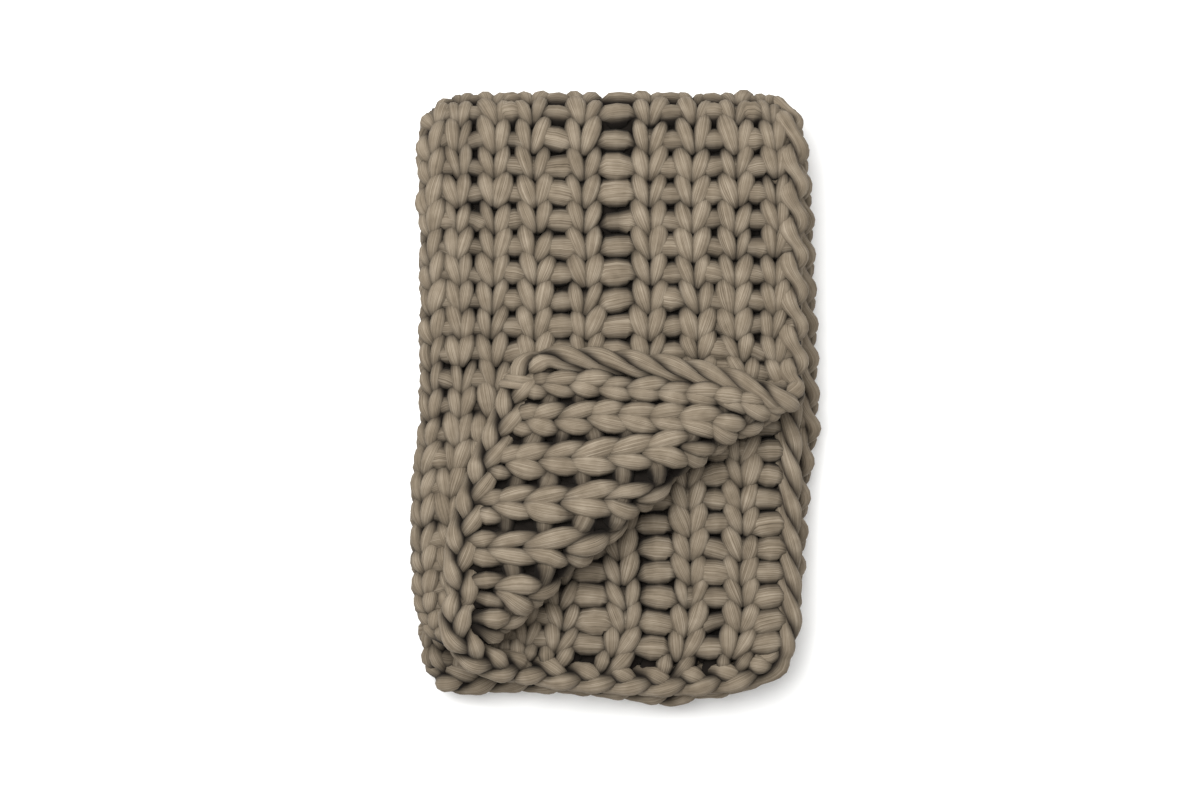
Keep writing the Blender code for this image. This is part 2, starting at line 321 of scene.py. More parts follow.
# %% Colours and one function that adds a node
# The wool's own streaked tones. The lit one is partly painted light on the raised fibres, and the deep
# one partly painted shade between them.
ROVING_LIT = "968B7B"  # raised fibres
ROVING_MID = "6C6152"
ROVING_DEEP_SHADE = "463D31"  # between the fibres
ROVING_UNLIT = "0E0905"  # in the middle of the cloth, where no light comes


def colour(hex_code):
    """An sRGB hex value as linear RGBA."""
    parts = [int(hex_code[i : i + 2], 16) / 255 for i in (0, 2, 4)]
    linear = [c / 12.92 if c <= 0.04045 else ((c + 0.055) / 1.055) ** 2.4 for c in parts]
    return (*linear, 1.0)


def add_node(tree, kind, settings=None, **inputs):
    """A node with its settings, and its inputs given as values or as sockets to link from."""
    node = tree.nodes.new(kind)
    for name, value in (settings or {}).items():
        setattr(node, name, value)
    for name, value in inputs.items():
        number = name[1:]  # i0 is the first input, and From_Min the one named From Min
        socket = node.inputs[int(number) if number.isdigit() else name.replace("_", " ")]
        if isinstance(value, bpy.types.NodeSocket):
            tree.links.new(value, socket)
        else:
            socket.default_value = value
    return node


print("the wool's middle colour, linear:", [round(part, 3) for part in colour(ROVING_MID)])

# %% Streaks along the strand
STREAK_AROUND = 15.0  # about 95 streaks round the strand, each 0.7 mm wide
STREAK_ALONG = 16.0  # a streak runs for some 60 mm
STREAK_NOISE = {"Scale": 1.0, "Detail": 4.0, "Roughness": 0.6}


def streaks_of(tree):
    """Noise, drawn out along the strand."""
    place = add_node(tree, "ShaderNodeAttribute", {"attribute_name": "strand"})
    stretched = add_node(
        tree, "ShaderNodeVectorMath", {"operation": "MULTIPLY"},
        i0=place.outputs["Vector"], i1=(STREAK_AROUND, STREAK_AROUND, STREAK_ALONG),
    )
    streaks = add_node(tree, "ShaderNodeTexNoise", Vector=stretched.outputs[0], **STREAK_NOISE)
    return streaks.outputs["Fac"]


# %% The tones of the wool
TUFT_NOISE = {"Scale": 45.0, "Detail": 2.0}  # lighter and darker tufts, some 20 mm across
TUFT_SHARE = 0.35
DEEP_SHADE_STOP, MID_STOP, LIT_STOP = 0.40, 0.66, 1.00


def tones_of(tree, streaks):
    """Streaks and tufts as a colour: the wool's own tones, with painted light on the raised streaks and
    painted shade between them.
    """
    where = add_node(tree, "ShaderNodeTexCoord")
    tufts = add_node(tree, "ShaderNodeTexNoise", Vector=where.outputs["Object"], **TUFT_NOISE)
    both = add_node(
        tree, "ShaderNodeMath", {"operation": "MULTIPLY_ADD"},
        i0=tufts.outputs["Fac"], i1=TUFT_SHARE, i2=streaks,
    )
    tones = add_node(tree, "ShaderNodeValToRGB", Fac=both.outputs[0])
    stops = tones.color_ramp.elements
    stops[0].position, stops[0].color = DEEP_SHADE_STOP, colour(ROVING_DEEP_SHADE)
    stops[1].position, stops[1].color = LIT_STOP, colour(ROVING_LIT)
    stops.new(MID_STOP).color = colour(ROVING_MID)
    return tones.outputs["Color"]


# %% [markdown]
# Light hardly reaches down between the loops, and wool swallows what does. A few soft lamps alone
# leave those places too pale, so shade is painted into the wool's colour: it grows darker towards
# the middle of the cloth. How far a point lies from there is an attribute of the yarn, so the
# painted shade stays in place from any side.

# %% Painted shade: darker towards the middle of the cloth
IN_THE_DARK, IN_THE_LIGHT = 0.0065, 0.0213  # metres off the middle


def with_painted_shade(tree, tones):
    """The tones, with shade painted in by the height that the yarn carries."""
    height = add_node(tree, "ShaderNodeAttribute", {"attribute_name": "height"})
    share = add_node(
        tree, "ShaderNodeMapRange", {"interpolation_type": "SMOOTHSTEP"},
        Value=height.outputs["Fac"], From_Min=IN_THE_DARK, From_Max=IN_THE_LIGHT,
    )
    shaded = add_node(  # a colour mix has its two colours at 6 and 7, and its result at 2
        tree, "ShaderNodeMix", {"data_type": "RGBA"},
        i0=share.outputs["Result"], i6=colour(ROVING_UNLIT), i7=tones,
    )
    return shaded.outputs[2]


# %% The roving's material
STREAK_BUMP = {"Strength": 0.30, "Distance": 0.0008}
MATT_WOOL = {
    "Roughness": 0.95, "Specular IOR Level": 0.2, "Sheen Weight": 0.04, "Sheen Roughness": 0.5,
}


def wool_roving():
    """Carded, unspun merino: matt, streaked along the strand, with the faintest sheen."""
    material = bpy.data.materials.new("wool_roving")
    material.use_nodes = True
    tree = material.node_tree
    shader = tree.nodes["Principled BSDF"]
    streaks = streaks_of(tree)
    tree.links.new(with_painted_shade(tree, tones_of(tree, streaks)), shader.inputs["Base Color"])
    bump = add_node(tree, "ShaderNodeBump", Height=streaks, **STREAK_BUMP)
    tree.links.new(bump.outputs["Normal"], shader.inputs["Normal"])
    for socket, value in MATT_WOOL.items():
        shader.inputs[socket].default_value = value
    shader.inputs["Sheen Tint"].default_value = colour(ROVING_LIT)
    return material


ROVING = wool_roving()
print("material:", ROVING.name, "with", len(ROVING.node_tree.nodes), "nodes")

# %% [markdown]
# ## Yarn from a path
#
# Each row of the knitting is one run of yarn. A Geometry Nodes tree turns a run's path into the
# strand: it sweeps a round outline along it, swelled and thinned by each point's own radius, lets
# a slow noise make the strand lumpy, and writes the attributes that the material reads. A curve
# with a bevel would make the tube as well, but it could not store those on the way.

# %% The inputs of the tree
YARN_SOCKETS = {
    "Paths": "NodeSocketGeometry", "Sides": "NodeSocketInt", "Lumps": "NodeSocketFloat",
    "Lump Scale": "NodeSocketFloat", "Seed": "NodeSocketInt", "Wool": "NodeSocketMaterial",
}
YARN_INPUTS = {  # lumps up to half a millimetre high, some 24 mm across
    "Sides": 10, "Lumps": 0.0011, "Lump Scale": 42.0, "Seed": 7,
}


# %% A round strand swept along each path
def swept_strand(tree, given):
    """The strand, what its paths pass on to it, and how far round it each point is."""
    curves = add_node(tree, "GeometryNodeMeshToCurve", Mesh=given["Paths"])
    run = add_node(tree, "GeometryNodeCaptureAttribute", Geometry=curves.outputs["Curve"])
    run.capture_items.new("FLOAT", "Length")
    run.capture_items.new("VECTOR", "Centre")
    far = add_node(tree, "GeometryNodeSplineParameter")
    tree.links.new(far.outputs["Length"], run.inputs["Length"])
    here = add_node(tree, "GeometryNodeInputPosition")
    tree.links.new(here.outputs["Position"], run.inputs["Centre"])
    ring = add_node(tree, "GeometryNodeCurvePrimitiveCircle", Resolution=given["Sides"], Radius=1.0)
    outline = add_node(tree, "GeometryNodeCaptureAttribute", Geometry=ring.outputs["Curve"])
    outline.capture_items.new("FLOAT", "Turn")
    round_it = add_node(tree, "GeometryNodeSplineParameter")
    tree.links.new(round_it.outputs["Factor"], outline.inputs["Turn"])
    thick = add_node(tree, "GeometryNodeInputNamedAttribute", {"data_type": "FLOAT"}, Name="thick")
    swept = add_node(
        tree, "GeometryNodeCurveToMesh",
        Curve=run.outputs["Geometry"], Profile_Curve=outline.outputs["Geometry"],
        Scale=thick.outputs["Attribute"], Fill_Caps=True,
    )
    return swept.outputs["Mesh"], run.outputs, outline.outputs["Turn"]


# %% Lumps in it
def lumpy_strand(tree, given, strand):
    noise = add_node(
        tree, "ShaderNodeTexNoise", {"noise_dimensions": "4D"},
        W=given["Seed"], Scale=given["Lump Scale"], Detail=1.0,
    )
    about = add_node(
        tree, "ShaderNodeMath", {"operation": "SUBTRACT"}, i0=noise.outputs["Fac"], i1=0.5,
    )
    lump = add_node(
        tree, "ShaderNodeMath", {"operation": "MULTIPLY"}, i0=about.outputs[0], i1=given["Lumps"],
    )
    normal = add_node(tree, "GeometryNodeInputNormal")
    push = add_node(
        tree, "ShaderNodeVectorMath", {"operation": "SCALE"},
        Vector=normal.outputs["Normal"], Scale=lump.outputs[0],
    )
    moved = add_node(tree, "GeometryNodeSetPosition", Geometry=strand, Offset=push.outputs[0])
    return moved.outputs["Geometry"]


# %% What the streaks read
def with_place(tree, strand, turn, length):
    """Stores the direction round the strand and the distance along it."""
    angle = add_node(tree, "ShaderNodeMath", {"operation": "MULTIPLY"}, i0=turn, i1=math.tau)
    cosine = add_node(tree, "ShaderNodeMath", {"operation": "COSINE"}, i0=angle.outputs[0])
    sine = add_node(tree, "ShaderNodeMath", {"operation": "SINE"}, i0=angle.outputs[0])
    place = add_node(
        tree, "ShaderNodeCombineXYZ", X=cosine.outputs[0], Y=sine.outputs[0], Z=length,
    )
    stored = add_node(
        tree, "GeometryNodeStoreNamedAttribute",
        {"data_type": "FLOAT_VECTOR", "domain": "POINT"},
        Geometry=strand, Name="strand", Value=place.outputs["Vector"],
    )
    return stored.outputs["Geometry"]


# %% What the painted shade reads
def with_height(tree, strand, centre):
    """Stores how far off the middle of the cloth each point is, for the painted shade."""
    upward = add_node(
        tree, "GeometryNodeInputNamedAttribute", {"data_type": "FLOAT_VECTOR"}, Name="upward",
    )
    rise = add_node(tree, "GeometryNodeInputNamedAttribute", {"data_type": "FLOAT"}, Name="rise")
    here = add_node(tree, "GeometryNodeInputPosition")
    from_centre = add_node(
        tree, "ShaderNodeVectorMath", {"operation": "SUBTRACT"},
        i0=here.outputs["Position"], i1=centre,
    )
    above = add_node(
        tree, "ShaderNodeVectorMath", {"operation": "DOT_PRODUCT"},
        i0=from_centre.outputs["Vector"], i1=upward.outputs["Attribute"],
    )
    height = add_node(
        tree, "ShaderNodeMath", {"operation": "ADD"},
        i0=above.outputs["Value"], i1=rise.outputs["Attribute"],
    )
    depth = add_node(tree, "ShaderNodeMath", {"operation": "ABSOLUTE"}, i0=height.outputs[0])
    stored = add_node(
        tree, "GeometryNodeStoreNamedAttribute", {"data_type": "FLOAT", "domain": "POINT"},
        Geometry=strand, Name="height", Value=depth.outputs[0],
    )
    return stored.outputs["Geometry"]


# %% The whole tree
def yarn_tree():
    tree = bpy.data.node_groups.new("yarn", "GeometryNodeTree")
    for name, kind in YARN_SOCKETS.items():
        tree.interface.new_socket(name, in_out="INPUT", socket_type=kind)
    tree.interface.new_socket("Yarn", in_out="OUTPUT", socket_type="NodeSocketGeometry")
    given = add_node(tree, "NodeGroupInput").outputs
    strand, run, turn = swept_strand(tree, given)
    strand = lumpy_strand(tree, given, strand)
    strand = with_place(tree, strand, turn, run["Length"])
    strand = with_height(tree, strand, run["Centre"])
    soft = add_node(tree, "GeometryNodeSetShadeSmooth", Geometry=strand)
    real = add_node(tree, "GeometryNodeRealizeInstances", Geometry=soft.outputs["Geometry"])
    woolly = add_node(
        tree, "GeometryNodeSetMaterial", Geometry=real.outputs["Geometry"], Material=given["Wool"],
    )
    add_node(tree, "NodeGroupOutput", Yarn=woolly.outputs["Geometry"])
    return tree


YARN = yarn_tree()
print("the yarn's tree has", len(YARN.nodes), "nodes")

# %% [markdown]
# A piece is built in three steps: its runs become one mesh of loose edges that carries the radii,
# the tree is hung on that mesh as a modifier, and the evaluated result is kept as a plain mesh.

# %% One piece of knitting from its paths
# A run's rise and upward are stored for the painted shade alone.
Run = namedtuple("Run", "points thick rise upward")  # upward is the way that rise is measured


def identifier(tree, name):
    """A modifier knows an input by this and not by its name."""
    inputs = [item for item in tree.interface.items_tree if item.in_out == "INPUT"]
    return next(item.identifier for item in inputs if item.name == name)


def spun(name, paths):
    """A plain mesh of yarn along each run."""
    points, thick, rise, upward = (np.concatenate(part) for part in zip(*paths))
    ends = np.cumsum([len(run.points) for run in paths]) - 1
    firsts = np.setdiff1d(np.arange(len(points)), ends)
    line = bpy.data.meshes.new(name + "_paths")
    line.from_pydata(points.tolist(), np.column_stack([firsts, firsts + 1]).tolist(), [])
    line.attributes.new("thick", "FLOAT", "POINT").data.foreach_set("value", thick)
    line.attributes.new("rise", "FLOAT", "POINT").data.foreach_set("value", rise)
    line.attributes.new("upward", "FLOAT_VECTOR", "POINT").data.foreach_set("vector", upward.ravel())
    holder = bpy.data.objects.new(name + "_paths", line)
    bpy.context.scene.collection.objects.link(holder)
    modifier = holder.modifiers.new("yarn", "NODES")
    modifier.node_group = YARN
    for key, value in {**YARN_INPUTS, "Wool": ROVING}.items():
        modifier[identifier(YARN, key)] = value
    shown = holder.evaluated_get(bpy.context.evaluated_depsgraph_get())
    mesh = bpy.data.meshes.new_from_object(shown)
    mesh.name = name
    bpy.data.objects.remove(holder, do_unlink=True)
    piece = bpy.data.objects.new(name, mesh)
    bpy.context.scene.collection.objects.link(piece)
    return piece


# %% [markdown]
# ## The loop
#
# A knit stitch is a loop pulled through the loop below it. Its feet pass behind the shoulders of
# that loop and come forward between its legs; then the legs spread as they rise, and make the V
# that shows; the head passes behind the next loop's legs. In 1x1 rib every second wale is the
# same loop seen from behind, so its rise is simply turned round, and its head shows as a plump
# bar in the furrow. The roving is plump where it is free and squeezed thin where loops cross.
# A knitted look could be had from a bump pattern, but stitches as thick as a thumb cast shadows
# and shape the outline, so here each one is a real loop.
#
# The Vs keep their width however far the cloth is pulled sideways, and the furrows take up the
# slack. So a bend of the loop is given in millimetres beside the middle of its wale, and only
# the link to the next loop by its share of the way there.

# %% The path of one loop
Bend = namedtuple("Bend", "beside share up rise thick")
HALF_LOOP = (  # beside, rise and thick are in millimetres, and up is in rows
    Bend(0.0, -1.0, 0.44, 0.0, 7.0),
    Bend(-7.5, 0.0, 0.42, 3.0, 5.4),
    Bend(-3.6, 0.0, 0.24, 4.0, 4.4),
    Bend(-2.6, 0.0, -0.08, 5.4, 4.2),
    Bend(-4.3, 0.0, 0.12, 7.8, 6.8),
    Bend(-7.6, 0.0, 0.44, 10.0, 10.6),
    Bend(-10.9, 0.0, 0.80, 9.6, 11.6),
    Bend(-13.2, 0.0, 1.12, 6.6, 8.8),
    Bend(-14.2, 0.0, 1.35, 1.8, 6.7),
    Bend(-11.0, 0.0, 1.48, -2.4, 12.8),
    Bend(0.0, 0.0, 1.52, -3.4, 14.8),
)
LOOP_SAMPLES = 26
STEPS_PER_BEND = 12
USUAL_PAIR = 0.047  # two wales side by side
HALF_WALE = USUAL_PAIR / 4
MM = 1000.0  # in a metre


def smooth_path(points, samples):
    """A smooth curve through the bends, walked in even steps."""
    ends = np.vstack([2 * points[0] - points[1], points, 2 * points[-1] - points[-2]])
    part = np.linspace(0.0, 1.0, STEPS_PER_BEND, endpoint=False)[:, None]
    a, b, c, d = (ends[i : len(ends) - 3 + i, None] for i in range(4))
    curve = b + part * (c - a) / 2 + part**2 * (a - 2.5 * b + 2 * c - d / 2)
    curve = curve + part**3 * (1.5 * (b - c) + (d - a) / 2)
    curve = np.vstack([curve.reshape(-1, points.shape[1]), points[-1]])
    beside, share, up, rise, _ = np.diff(curve, axis=0).T
    steps = np.hypot(np.hypot(beside + share * HALF_WALE * MM, up * ROW_LENGTH * MM), rise)
    length = np.concatenate([[0.0], np.cumsum(steps)])
    at = np.linspace(0.0, length[-1], samples + 1)
    return np.column_stack([np.interp(at, length, column) for column in curve.T]), length[-1]


def whole_loop(samples):
    """The loop from link to link, and its length in millimetres."""
    left = np.array(HALF_LOOP)
    right = left[-2::-1] * (-1.0, -1.0, 1.0, 1.0, 1.0)
    path, length = smooth_path(np.vstack([left, right]), samples)
    return path[:-1], length


LOOP, LOOP_LENGTH = whole_loop(LOOP_SAMPLES)
print("a loop takes", len(LOOP), "points and", round(LOOP_LENGTH), "mm of roving")

# %% From metres to wales
FOLD_WALE = 0.024  # one wale, round the outside of the first fold


def measured_ribs():
    """The ribs of both tables, and their distances along the cloth."""
    outer, inner = sorted(OUTER_RIBS), sorted(INNER_RIBS)
    far = [outer[0].x - rib.x for rib in outer]
    after_fold = far[-1] + (FOLD_END - FOLD_START) * FOLD_WALE
    far += [after_fold + rib.x - inner[0].x for rib in inner]
    return np.array([rib.wale for rib in outer + inner]), np.array(far)


WALES, DISTANCES = measured_ribs()


def distance(wale):
    """From the first rib of the tables, in metres along the cloth."""
    return np.interp(wale, WALES, DISTANCES)


def beside(wale, metres):
    """The place that lies so far beside another, counted in wales."""
    return np.interp(distance(wale) + metres, DISTANCES, WALES)


print("the cloth is", round(distance(LAST_WALE) - distance(FIRST_WALE), 3), "m wide")

# %% [markdown]
# Hand knitting is never even. Each loop gets its own small shift, tilt and plumpness, and the
# ribs wander slowly from side to side. The numbers come from a seeded generator, so every run
# knits the same throw.

# %% How uneven the loops are
LOOSE_ACROSS, LOOSE_UP, LOOSE_TILT = 0.0017, 0.045, 0.07
TILT_FROM = 0.7  # rows up the loop
LOOSE_THICK, LOOSE_LEG, LOOSE_HEIGHT = 0.08, 0.07, 0.035
LOOSE_LEAN = 0.005  # rows that one side of a loop is higher, for each millimetre beside its middle
BAR_HELD = 0.6  # how far the legs on both sides keep a bar in its place
WANDER = 0.0028
WANDER_WAVES = ((0.55, 0.9), (0.21, -0.33))  # radians for each row and each wale
chance = np.random.default_rng(11)


def wandered(wale, row):
    """A slow drift of the ribs from side to side, in metres."""
    (sine_row, sine_wale), (cosine_row, cosine_wale) = WANDER_WAVES
    sine = np.sin(sine_row * row + sine_wale * wale)
    return WANDER * sine * np.cos(cosine_row * row + cosine_wale * wale)


print("ribs wander up to", WANDER * MM, "mm to each side")

# %% [markdown]
# The loops also answer to where they are. Between crowded ribs they are thinner, in a wide furrow
# the bars are longer and plumper, on the turned corner the ribs are drawn away from the edge and
# the bars sink in, and next to the hems the loops lie flat and thin under the chain.

# %% How the loops change with their place
FIRST_LOOP, LAST_LOOP = 1, 36
NARROWEST, WIDEST, WIDEST_BAR = 0.75, 1.12, 1.80  # of the usual width
BAR_FROM = (1.34, 1.48)  # rows up the loop, where legs end and the bar begins
CROWDED, SPREAD = 0.55, 0.28  # how much thinner the yarn of narrow loops, and plumper that of wide bars
FLATTEST, THINNEST = 0.3, 0.7
HEM_SQUEEZE = (0.9, 1.5)  # rows from the hem
FLAP_ROWS = (11.5, 15.0)
FLAP_SHIFTS = (  # by how far the ribs at these wales are drawn away from the turned corner's edge
    Amount(0, 0.020), Amount(1, 0.029), Amount(3, 0.040), Amount(5, 0.043), Amount(7, 0.048),
    Amount(9, 0.042), Amount(11, 0.028), Amount(13, 0.014), Amount(15, 0.004), Amount(17, 0.0),
)
FLAP_PLUMP, FLAP_BAR, FLAP_SUNK = 0.12, 0.24, 0.8  # there the bars are thinner and lie deeper


def on_flap(wale, row):
    """How far each rib is drawn in on the turned corner."""
    return eased(*FLAP_ROWS, row) * read(FLAP_SHIFTS, wale)


# %% A row of the knitting
def row_path(start_row):
    """One row from selvedge to selvedge, as places on the flat cloth and radii in metres."""
    wales = np.arange(FIRST_LOOP, LAST_LOOP + 1)[:, None]
    aside, share, up, rise, thick = LOOP.T
    bar = eased(*BAR_FROM, up)
    free = (1.0 - np.abs(share)) * (1.0 - BAR_HELD * bar)

    def loose(spread):
        return chance.normal(0.0, spread, wales.shape)

    pair = distance(wales + 1) - distance(wales - 1)
    widest = WIDEST + (WIDEST_BAR - WIDEST) * bar
    width = np.clip(pair / USUAL_PAIR, NARROWEST, widest)
    tilt = loose(LOOSE_TILT) * (up - TILT_FROM) * ROW_LENGTH
    metres = aside / MM * width + free * (loose(LOOSE_ACROSS) + tilt)
    rows = start_row - up * (1.0 + free * loose(LOOSE_HEIGHT)) - free * loose(LOOSE_UP)
    rows = rows - loose(LOOSE_LEAN) * aside
    middle = wales + share / 2
    drawn_in = on_flap(middle, rows)
    metres = metres + wandered(middle, rows) + drawn_in
    plump = 1.0 + loose(LOOSE_THICK) + loose(LOOSE_LEG) * np.sign(aside)
    plump = plump * (1.0 + CROWDED * (np.minimum(width, 1.0) - 1.0))
    plump = plump * (1.0 + SPREAD * bar * (np.maximum(width, 1.0) - 1.0))
    flap = (drawn_in > 0.0) * 1.0
    plump = plump * (1.0 + flap * (FLAP_PLUMP - FLAP_BAR * bar))
    open_cloth = eased(*HEM_SQUEEZE, HEM_ROW - np.abs(rows))
    plump = plump * (THINNEST + (1.0 - THINNEST) * open_cloth)
    face = np.where(wales % 2 == 0, 1.0, -1.0)
    rise = rise * (FLATTEST + (1.0 - FLATTEST) * open_cloth) * (1.0 - FLAP_SUNK * flap * bar)
    wale = beside(middle, metres)
    return tuple(part.ravel() for part in (wale, rows, face * rise / MM, thick * plump / MM))


# %% [markdown]
# The real throw is knitted row by row from one hem to the other. So is this one, in five pieces,
# because a mesh of all rows together would be too heavy.

# %% Knit the rows
ROW_COUNT = 45
UNDER_CHAIN = 0.52  # rows from the hem, under the chain
FIRST_ROW = HEM_ROW - UNDER_CHAIN
LAST_ROW = -HEM_ROW + UNDER_CHAIN + HALF_LOOP[-1].up
BANDS = 5


def knit():
    starts = np.linspace(FIRST_ROW, LAST_ROW, ROW_COUNT)
    pieces = []
    for number, band in enumerate(np.array_split(starts, BANDS), start=1):
        paths = []
        for start in band:
            wale, row, rise, thick = row_path(start)
            places, upward = lay_with_rise(wale, row, rise)
            paths.append(Run(places, thick, rise, upward))
        pieces.append(spun(f"knit_rows_{number}", paths))
        print(pieces[-1].name, "rows", len(band), "faces", len(pieces[-1].data.polygons))
    return pieces


KNITTING = knit()

# %% [markdown]
# ## The edge chain
#
# A hand knitter slips the first stitch of each row and casts on and off with a crochet-like
# chain, so every edge ends in a plump chain of Vs. Seen from either side it looks like a flat
# plait, so it is laid as one: three strands that weave over and under each other. Linked loops
# would be truer inside, but nothing of that shows. Along the hems the plait lies flat, and along
# the selvedges it leans up on its edge. On two stretches it is drawn into a twisted rope: the
# turned corner's upper edge and the second layer's selvedge on the right.

# %% The chain's sizes
CHAIN_HALF_WIDTH, CHAIN_HALF_DEPTH = 0.0124, 0.0090
CHAIN_RADIUS, CHAIN_SWELL = 0.0104, 0.17
STANDING = math.radians(58)  # how far it leans along the selvedges
TWIST_RADIUS = 0.0068  # from the middle of the rope to that of a strand
HEM_PROUD, SELVEDGE_INSIDE = 0.001, 0.005  # how it lies to the edge of the cloth
HEM_INSET = CHAIN_HALF_WIDTH + CHAIN_RADIUS - HEM_PROUD
SELVEDGE_INSET = CHAIN_HALF_WIDTH * math.cos(STANDING) + CHAIN_RADIUS + SELVEDGE_INSIDE
print("the chain is", round(2 * (CHAIN_HALF_WIDTH + CHAIN_RADIUS) * MM), "mm wide")

# %% A line round the whole edge of the cloth
CORNER_BEND, CORNER_POINTS = 0.030, 7
RIM_SPACING = 0.005


def rim():
    """Places on the flat cloth in metres, and the outward direction at each."""
    reach = HEM_ROW * ROW_LENGTH - HEM_INSET - CORNER_BEND
    near = distance(FIRST_WALE) + SELVEDGE_INSET + CORNER_BEND
    far = distance(LAST_WALE) - SELVEDGE_INSET - CORNER_BEND
    corners = ((near, -reach), (near, reach), (far, reach), (far, -reach))
    points = []
    for quarter, (across, along) in enumerate(corners):
        for part in range(CORNER_POINTS):
            turn = -math.pi / 2 * (2 + quarter) - math.pi / 2 * (part / (CORNER_POINTS - 1) - 1)
            out = (math.cos(turn), math.sin(turn))
            points.append((across + CORNER_BEND * out[0], along + CORNER_BEND * out[1], *out))
    points = np.array(points + points[:1])
    length = np.concatenate([[0.0], np.cumsum(np.hypot(*np.diff(points[:, :2], axis=0).T))])
    at = np.linspace(0.0, length[-1], round(length[-1] / RIM_SPACING))
    return [np.interp(at, length, column) for column in points.T]


print("stations round the edge:", len(rim()[0]))

# %% [markdown]
# At the lower left corner the chain takes the short way: it comes down the turned edge and goes
# straight on along the hem of the layer below, over the end of the fold. So there its line leaves
# the cloth for a moment and follows one smooth bend, led by four given places.

# %% The short way
SHORT_WAY = (12.6, 26.5)  # from which wale to which
SHORT_WAY_PLACES = (
    (-0.2090, -0.256, 0.171), (-0.1995, -0.296, 0.163), (-0.177, -0.321, 0.138),
    (-0.137, -0.334, 0.106),
)
SMOOTHING = 24  # rounds
SHORTEST = 1e-9  # so that nothing is divided by zero


def unit(vectors):
    return vectors / np.maximum(np.linalg.norm(vectors, axis=1, keepdims=True), SHORTEST)


def bridged(middle, first, last):
    """The stations in between, along the short way and smoothed."""
    corners = np.vstack([middle[first - 1], SHORT_WAY_PLACES, middle[last + 1]])
    far = np.concatenate([[0.0], np.cumsum(np.linalg.norm(np.diff(corners, axis=0), axis=1))])
    at = np.linspace(0.0, far[-1], last - first + 3)[1:-1]
    middle[first : last + 1] = np.column_stack([np.interp(at, far, column) for column in corners.T])
    for _ in range(SMOOTHING):
        near = middle[first - 2 : last + 3]
        middle[first - 1 : last + 2] = (near[:-2] + 2.0 * near[1:-1] + near[2:]) / 4.0


print("the short way spans", SHORT_WAY[1] - SHORT_WAY[0], "wales")

# %% Where the chain is a rope
SECOND_WALES, SECOND_ROWS = (30.0, 34.0), (2.0, 5.0)  # where the second layer's stretch begins
TURNED_WALES = (2.0, 6.0)  # where the turned corner's stretch ends
ALONG_SELVEDGE = (0.5, 1.0)  # by how far the edge faces sideways


def rope_twist(wale, row, sideways):
    """How far the plait is a rope: 0 to 1, or to -1 where it turns the other way."""
    second = eased(*SECOND_WALES, wale) * eased(*SECOND_ROWS, row)
    turned = (1.0 - eased(*TURNED_WALES, wale)) * eased(*FLAP_ROWS, row)
    return (second - turned) * eased(*ALONG_SELVEDGE, sideways)


# %% Lay the line along the folded cloth
STEP_ASIDE = 0.004


def laid_rim():
    """Its places, the directions outwards and off the cloth, and the plait's lean and twist."""
    across, along, out_across, out_along = rim()
    wale, row, flat = np.interp(across, DISTANCES, WALES), along / ROW_LENGTH, np.zeros_like(along)
    middle = lay(wale, row, flat)
    beyond = np.interp(across + out_across * STEP_ASIDE, DISTANCES, WALES)
    outward = unit(lay(beyond, row + out_along * STEP_ASIDE / ROW_LENGTH, flat) - middle)
    rising = unit(lay(wale, row, flat + STEP_ASIDE) - middle)
    skipped = (row > HEM_ROW / 2) & (wale > SHORT_WAY[0]) & (wale < SHORT_WAY[1])
    first, last = np.flatnonzero(skipped)[[0, -1]]
    bridged(middle, first, last)
    part = np.linspace(0.0, 1.0, last - first + 3)[1:-1, None]
    for direction in (outward, rising):
        direction[first : last + 1] = direction[first - 1] * (1 - part) + direction[last + 1] * part
    sideways = out_across**2
    return middle, outward, rising, STANDING * sideways, rope_twist(wale, row, sideways)


# %% A plait along that line
CHAIN_STEP = 0.044  # from one V to the next
CHAIN_STRANDS = 3
CHAIN_SAMPLES_PER_STEP = 10
CHAIN_RISE, CHAIN_RISE_SHARE = 0.006, 0.6  # it is shaded from its own middle, and less than the loops


def plait():
    """Each strand's run of yarn, in even steps along the edge."""
    middle, outward, rising, tilt, twist = laid_rim()
    length = np.concatenate([[0.0], np.cumsum(np.linalg.norm(np.diff(middle, axis=0), axis=1))])
    rounds = round(length[-1] / CHAIN_STEP / CHAIN_STRANDS)
    at = np.linspace(0.0, length[-1], rounds * CHAIN_STRANDS * CHAIN_SAMPLES_PER_STEP)

    def along(columns):
        return np.column_stack([np.interp(at, length, column) for column in columns.T])

    middle, outward, rising = along(middle), unit(along(outward)), unit(along(rising))
    tilt, twist = np.interp(at, length, tilt), np.interp(at, length, twist)
    flat = 1.0 - np.abs(twist)
    for strand in range(CHAIN_STRANDS):
        turn = math.tau * (at / length[-1] * rounds + strand / CHAIN_STRANDS)
        side = (TWIST_RADIUS + (CHAIN_HALF_WIDTH - TWIST_RADIUS) * flat) * np.sin(turn)
        height = flat * CHAIN_HALF_DEPTH * np.sin(2 * turn) + twist * TWIST_RADIUS * np.cos(turn)
        across = side * np.cos(tilt) - height * np.sin(tilt)
        rise = side * np.sin(tilt) + height * np.cos(tilt)
        thin = (flat - 1.0) * np.cos(2 * turn) + flat * np.cos(4 * turn)  # least on the chain's faces
        radius = CHAIN_RADIUS * (1.0 - CHAIN_SWELL * thin)
        aside = across[:, None] * outward + rise[:, None] * rising
        # For the painted shade a strand's rise counts from the chain's own middle, so its outer side is
        # painted lighter than its inner side.
        depth = CHAIN_RISE + CHAIN_RISE_SHARE * np.hypot(side, height)
        yield Run(middle + aside, radius, depth, unit(aside))


# %% [markdown]
# The yarn's loose end is wound about twice round the chain at the turned corner's tip, as a
# knitter does to keep it from coming undone. It is one more run of yarn, on a helix, and thinner,
# because it is pulled tight.

# %% The wound end
TAIL_TURNS, TAIL_SAMPLES = 2.2, 44
TAIL_RADIUS, TAIL_PITCH = 0.0054, 0.0096
TAIL_WIDE, TAIL_DEEP = 0.0155, 0.0165  # half the sizes of its windings
TAIL_FROM = 3  # stations past the middle of the corner


